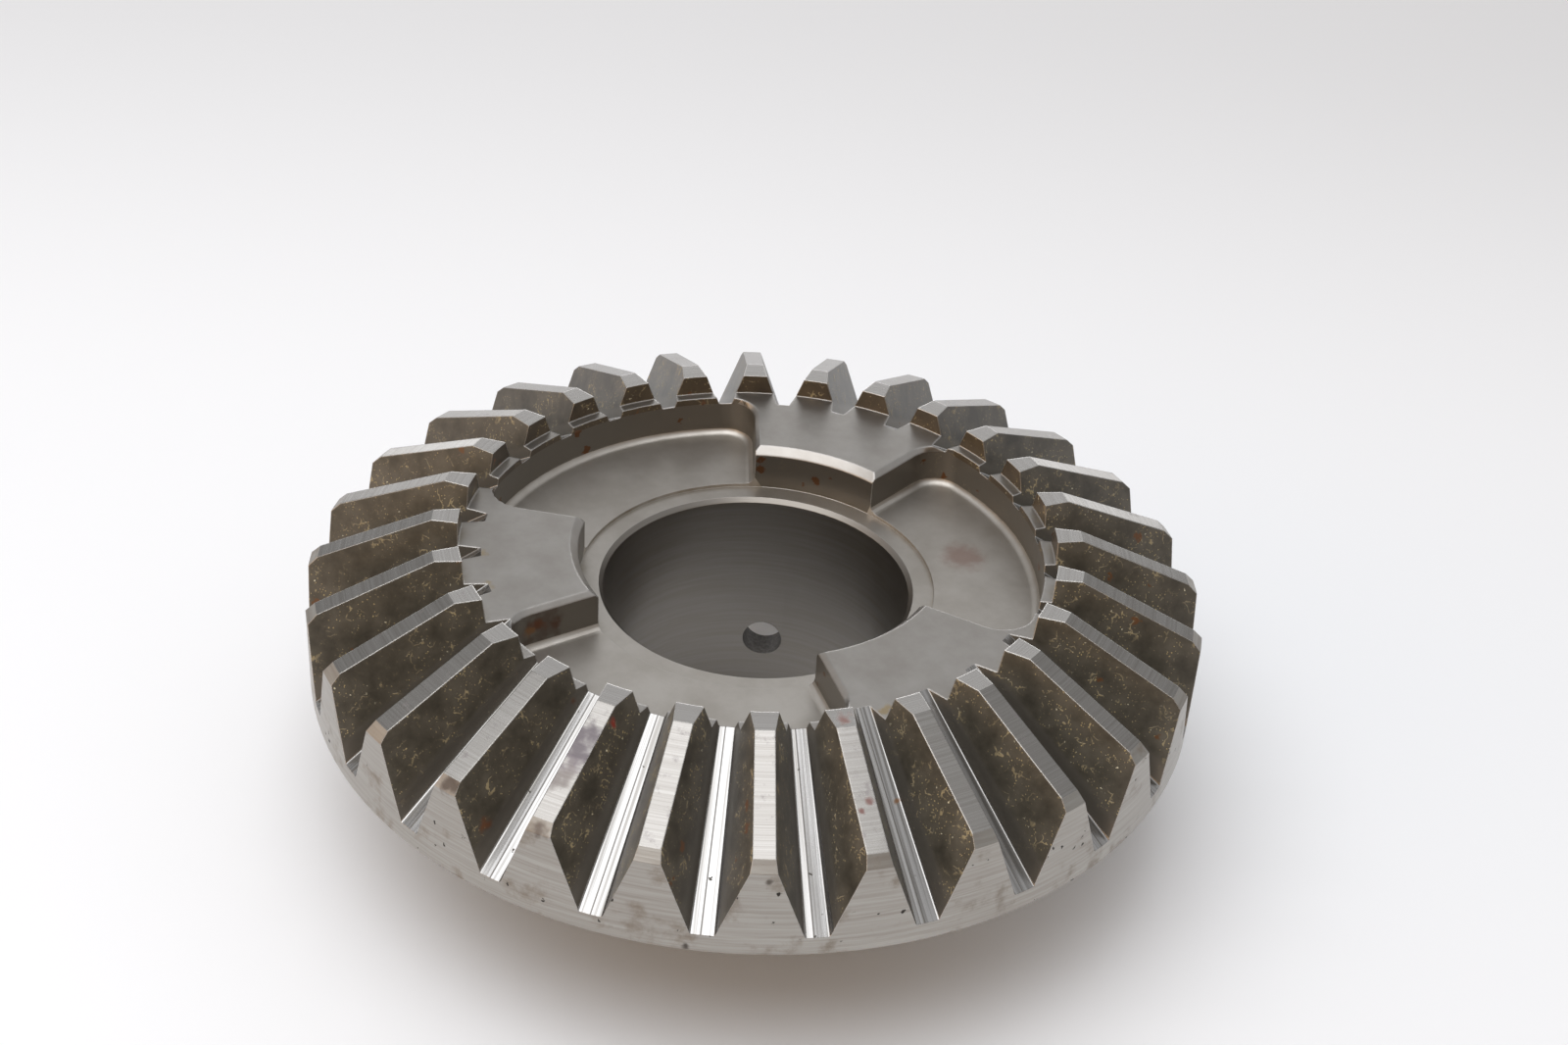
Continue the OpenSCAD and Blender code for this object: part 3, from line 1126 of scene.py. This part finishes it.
@dataclass
class Studio:
    """The table, the light and the camera.

    Each part of the room reaches from its edge to its core, as cosines of the angle to its middle. The
    camera's elevation and azimuth are in degrees, and its small turns from there in radians.
    """

    table_colour: str = "#f3f4f6"
    shaded_far_table_colour: str = "#e8e9eb"
    table_size: float = 12.0
    far_start: float = 0.05
    far_end: float = 0.18
    warm_colour: str = "#ffd09a"
    room_colour: str = "#fcfdff"
    left_level: float = 0.52
    right_level: float = 0.56
    front_share: float = 0.45
    window_level: float = 1.3
    backdrop_level: float = 2.6
    ceiling_level: float = 0.3
    front_reach: tuple[float, float] = (0.1, 0.8)
    window_reach: tuple[float, float] = (0.35, 0.9)
    backdrop_reach: tuple[float, float] = (0.68, 0.9)
    ceiling_reach: tuple[float, float] = (0.78, 0.96)
    window_forward: float = 0.5
    room_lean: float = 0.4
    softbox_colour: str = "#fafcff"
    softbox_height: float = 0.40
    softbox_width: float = 0.435
    softbox_depth: float = 0.415
    softbox_forward: float = 0.1225
    softbox_left: float = 0.1225
    softbox_power: float = 1.25
    aim_z: float = 21.23 * MM
    distance: float = 182.47 * MM
    elevation: float = 34.519
    azimuth: float = -41.315
    pan: float = -0.0106
    tilt: float = 0.0192
    roll: float = -0.0591
    focal_pixels: float = 2325.76
    image_width: int = 1600
    sensor_mm: float = 36.0

    def build(self) -> None:
        """Set up the table, the room, the lamp and the camera."""
        self.table()
        self.room()
        self.softbox()
        self.camera()
        bpy.context.scene.view_settings.view_transform = "Standard"

    def toward_camera(self) -> Vector:
        """Find the level direction from the gear to the camera.

        Returns:
            The direction, of length one.
        """
        turn = math.radians(self.azimuth)
        return Vector((math.cos(turn), math.sin(turn), 0))

    def leftward(self) -> Vector:
        """Find the level direction to the left of the picture.

        Returns:
            The direction, of length one.
        """
        return self.toward_camera().cross(Vector((0, 0, 1)))

    def window_side(self) -> Vector:
        """Find the level direction of the window, on the left and a little in front of the gear.

        Returns:
            The direction, of length one.
        """
        return (self.leftward() + self.window_forward * self.toward_camera()).normalized()

    def table(self) -> None:
        """Lay a plain pale table under the gear, greyed towards the back by painted shade."""
        sheet = bmesh.new()
        bmesh.ops.create_grid(sheet, x_segments=1, y_segments=1, size=self.table_size / 2)
        mesh = bpy.data.meshes.new("table")
        sheet.to_mesh(mesh)
        sheet.free()
        table = bpy.data.objects.new("table", mesh)
        # A hundredth of a millimetre below the hub, so that the two faces don't flicker
        table.location.z = -0.01 * MM
        bpy.context.scene.collection.objects.link(table)
        # Uncoated paper: it gives the eye a white with soft shadows and no reflections, greyed towards the
        # back by painted shade
        paper = bpy.data.materials.new("matt_white_paper")
        paper.use_nodes = True
        tree = paper.node_tree
        tree.nodes.clear()
        place = add_node(tree, "TexCoord", out="Object")
        # Painted shade: the colour greys towards the back, where the lamp's light falls off
        behind = add_node(
            tree, "VectorMath", {0: place, 1: -self.toward_camera()}, "Value", operation="DOT_PRODUCT"
        )
        far = add_node(
            tree,
            "MapRange",
            {0: behind, FROM_MIN: self.far_start, FROM_MAX: self.far_end},
            interpolation_type="SMOOTHSTEP",
        )
        colour = add_node(
            tree,
            "Mix",
            {0: far, MIX_A: linear(self.table_colour), MIX_B: linear(self.shaded_far_table_colour)},
            MIX_RESULT,
            data_type="RGBA",
        )
        shader = add_node(tree, "BsdfPrincipled", {"Base Color": colour, "Roughness": 0.9})
        add_node(tree, "OutputMaterial", {"Surface": shader})
        mesh.materials.append(paper)
        log.info("table: %.1f m", self.table_size)

    def room(self) -> None:
        """Surround the gear with soft light, with a warm front and a window on the left."""
        world = bpy.data.worlds.new("room")
        bpy.context.scene.world = world
        world.use_nodes = True
        tree = world.node_tree
        tree.nodes.clear()
        way = add_node(tree, "TexCoord", out="Generated")
        up = Vector((0, 0, 1))
        # What stands round the table leans down, so that it counts most near the table's level
        standing = (self.toward_camera(), self.window_side(), -self.toward_camera())
        sides = [side - self.room_lean * up for side in standing] + [up, self.leftward()]
        front, window, backdrop, ceiling, leftward = (
            add_node(
                tree, "VectorMath", {0: way, 1: side.normalized()}, "Value", operation="DOT_PRODUCT"
            )
            for side in sides
        )
        front, window, backdrop, ceiling = (
            add_node(
                tree,
                "MapRange",
                {0: share, FROM_MIN: edge, FROM_MAX: core},
                interpolation_type="SMOOTHSTEP",
            )
            for share, (edge, core) in (
                (front, self.front_reach),
                (window, self.window_reach),
                (backdrop, self.backdrop_reach),
                (ceiling, self.ceiling_reach),
            )
        )
        warm = add_node(tree, "Math", {0: front, 1: window}, operation="MAXIMUM")
        colour = add_node(
            tree,
            "Mix",
            {0: warm, MIX_A: linear(self.room_colour), MIX_B: linear(self.warm_colour)},
            MIX_RESULT,
            data_type="RGBA",
        )
        level = add_node(
            tree,
            "MapRange",
            {0: leftward, FROM_MIN: -1.0, TO_MIN: self.right_level, TO_MAX: self.left_level},
        )
        dimmed = add_node(tree, "MapRange", {0: front, TO_MIN: 1.0, TO_MAX: self.front_share})
        level = add_node(tree, "Math", {0: level, 1: dimmed}, operation="MULTIPLY")
        for glow, extra in (
            (window, self.window_level),
            (backdrop, self.backdrop_level),
            (ceiling, self.ceiling_level),
        ):
            level = add_node(tree, "Math", {0: glow, 1: extra, 2: level}, operation="MULTIPLY_ADD")
        light = add_node(tree, "Background", {"Color": colour, "Strength": level})
        add_node(tree, "OutputWorld", {"Surface": light})
        log.info("room: level %.2f to %.2f", self.right_level, self.left_level)

    def softbox(self) -> None:
        """Hang a soft lamp over the gear, a little towards the camera and to its left."""
        lamp = bpy.data.lights.new("softbox", "AREA")
        lamp.shape = "RECTANGLE"
        lamp.size = self.softbox_width
        lamp.size_y = self.softbox_depth
        lamp.energy = self.softbox_power
        lamp.color = linear(self.softbox_colour)[:3]
        holder = bpy.data.objects.new("softbox", lamp)
        place = self.toward_camera() * self.softbox_forward + self.leftward() * self.softbox_left
        holder.location = place + Vector((0, 0, self.softbox_height))
        holder.rotation_euler.z = math.radians(self.azimuth + 90)
        bpy.context.scene.collection.objects.link(holder)
        log.info("softbox: %.1f W", self.softbox_power)

    def camera(self) -> None:
        """Place the camera where the photograph was taken from."""
        rise = math.radians(self.elevation)
        away = self.toward_camera() * math.cos(rise) + Vector((0, 0, math.sin(rise)))
        right = Vector((0, 0, 1)).cross(self.toward_camera())
        forward = -away
        up = right.cross(forward)
        forward, right = (Matrix.Rotation(self.pan, 3, up) @ v for v in (forward, right))
        forward, up = (Matrix.Rotation(self.tilt, 3, right) @ v for v in (forward, up))
        right, up = (Matrix.Rotation(self.roll, 3, forward) @ v for v in (right, up))
        lens = bpy.data.cameras.new("camera")
        lens.sensor_width = self.sensor_mm
        lens.lens = self.focal_pixels * self.sensor_mm / self.image_width
        lens.clip_start = 0.005
        holder = bpy.data.objects.new("camera", lens)
        turned = Matrix((right, up, -forward)).transposed().to_4x4()
        place = away * self.distance + Vector((0, 0, self.aim_z))
        holder.matrix_world = Matrix.Translation(place) @ turned
        bpy.context.scene.collection.objects.link(holder)
        bpy.context.scene.camera = holder
        log.info("camera: %.1f mm lens", lens.lens)


def main() -> None:
    """Build the gear and its studio."""
    logging.basicConfig(level=logging.INFO, format="%(name)s: %(message)s")
    gear = ReverseGear()
    gear.dress(gear.build())
    Studio().build()


if __name__ == "__main__":
    main()
